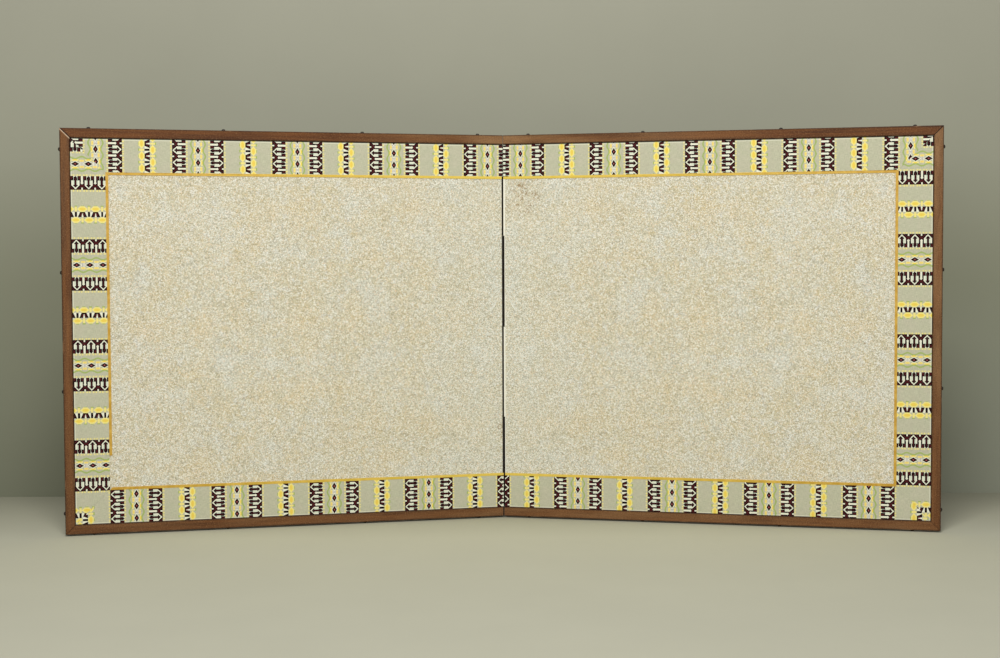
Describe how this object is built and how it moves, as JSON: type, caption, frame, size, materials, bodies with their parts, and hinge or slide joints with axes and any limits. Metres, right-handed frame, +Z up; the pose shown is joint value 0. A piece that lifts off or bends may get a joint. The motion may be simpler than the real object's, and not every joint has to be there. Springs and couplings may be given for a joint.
{
  "type": "folding partition screen",
  "caption": "Low folding partition screen: papered lattice panels in wooden frames, bordered with woven cloth, joined by a full-height paper hinge and standing on nail heads.",
  "frame": {"origin": "on the floor, at the centre of the standing screen's box, with the screen opened to its resting angle", "axes": "+X across the screen from the left panel to the right one, +Y from the bordered front to the plain back, +Z up"},
  "size_m": [1.7796, 0.2312, 0.8244],
  "materials": {
    "frame_wood": "oiled reddish-brown hardwood with an open, straight grain",
    "core_wood": "bare softwood",
    "under_paper": "layered handmade paper",
    "face_paper": "cream paper speckled with fine pale flakes",
    "back_paper": "plain dull ochre backing paper",
    "hinge_paper": "tough long-fibred paper",
    "brocade": "woven grey-green band with maroon, yellow and white figures",
    "gold_trim": "gilt paper strip with a soft satin sheen",
    "nail_metal": "black-brown lacquered iron"
  },
  "bodies": {
    "left_panel": {"left_frame_top_rail": "frame_wood", "left_frame_bottom_rail": "frame_wood", "left_frame_outer_stile": "frame_wood", "left_core_top_rail": "core_wood", "left_core_bottom_rail": "core_wood", "left_core_fold_stile": "core_wood", "left_core_outer_stile": "core_wood", "left_core_uprights": "core_wood", "left_core_crossbars": "core_wood", "left_core_corner_blocks": "core_wood", "left_front_lining": "under_paper", "left_back_lining": "under_paper", "left_face_paper": "face_paper", "left_back_paper": "back_paper", "left_brocade_top": "brocade", "left_brocade_bottom": "brocade", "left_brocade_side": "brocade", "left_trim_top": "gold_trim", "left_trim_bottom": "gold_trim", "left_trim_side": "gold_trim", "left_hinge_front_leaves": "hinge_paper", "left_hinge_wraps": "hinge_paper", "left_edge_nails": "nail_metal", "left_foot_nails": "nail_metal"},
    "right_panel": {"right_frame_top_rail": "frame_wood", "right_frame_bottom_rail": "frame_wood", "right_frame_outer_stile": "frame_wood", "right_core_top_rail": "core_wood", "right_core_bottom_rail": "core_wood", "right_core_fold_stile": "core_wood", "right_core_outer_stile": "core_wood", "right_core_uprights": "core_wood", "right_core_crossbars": "core_wood", "right_core_corner_blocks": "core_wood", "right_front_lining": "under_paper", "right_back_lining": "under_paper", "right_face_paper": "face_paper", "right_back_paper": "back_paper", "right_brocade_top": "brocade", "right_brocade_bottom": "brocade", "right_brocade_side": "brocade", "right_trim_top": "gold_trim", "right_trim_bottom": "gold_trim", "right_trim_side": "gold_trim", "right_hinge_front_leaves": "hinge_paper", "right_hinge_wraps": "hinge_paper", "right_edge_nails": "nail_metal", "right_foot_nails": "nail_metal"}
  },
  "joints": [
    {"name": "screen_fold", "type": "hinge", "parent": "left_panel", "child": "right_panel", "pos_m": [0, 0.09578, 0.4122], "axis": [0, 0, -1], "range_deg": [-27, 153]}
  ]
}
